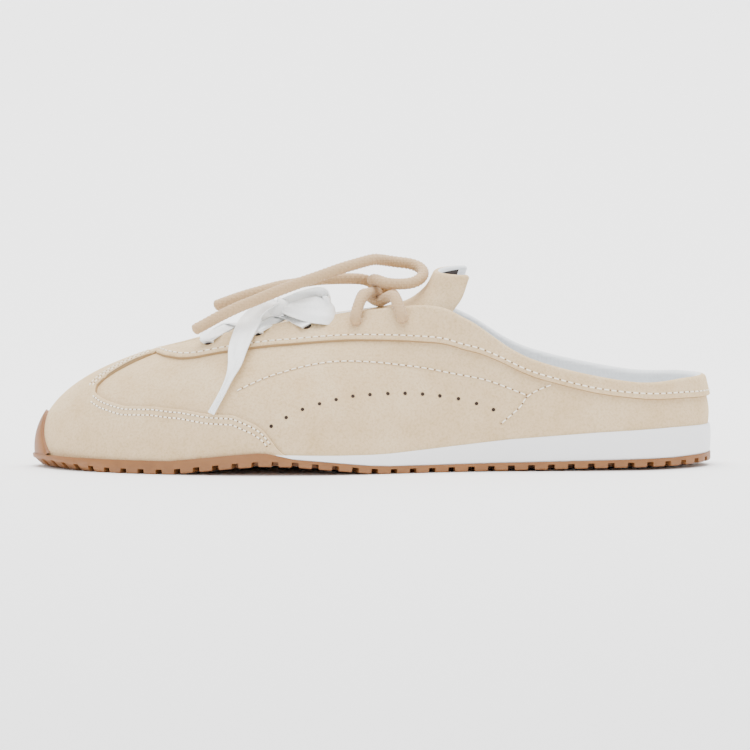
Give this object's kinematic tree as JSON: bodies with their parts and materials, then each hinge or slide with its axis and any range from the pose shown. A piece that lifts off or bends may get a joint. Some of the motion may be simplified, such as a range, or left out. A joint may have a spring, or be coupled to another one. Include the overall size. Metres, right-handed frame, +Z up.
{
  "type": "sneaker mule",
  "caption": "Low suede sneaker mule, left shoe, on a gum sole with square lugs, tied with a satin ribbon and a round cord.",
  "frame": {"origin": "on the floor, at the middle of the sole's length and width", "axes": "+X from toe to heel, +Y towards the inner side of the foot, +Z up"},
  "size_m": [0.2662, 0.0912, 0.0821],
  "materials": {
    "suede": "napped suede",
    "suede_overlay": "napped suede, a little paler",
    "gum_rubber": "moulded, satin",
    "foam": "moulded foam, matt",
    "sock_lining": "fine knit over foam",
    "satin_ribbon": "woven satin",
    "braided_cord": "round braid, matt"
  },
  "bodies": {
    "root": {"outsole": "gum_rubber", "midsole": "foam", "insole": "sock_lining", "upper": "suede", "toe_overlay": "suede_overlay", "collar_band": "suede_overlay", "tongue": "suede", "ribbon_lacing": "satin_ribbon", "cord_lacing": "braided_cord", "cord_loop": "braided_cord", "cord_end_long": "braided_cord", "cord_end_short": "braided_cord", "ribbon_bow": "satin_ribbon", "ribbon_tail_outer": "satin_ribbon", "ribbon_tail_inner": "satin_ribbon"}
  },
  "joints": []
}
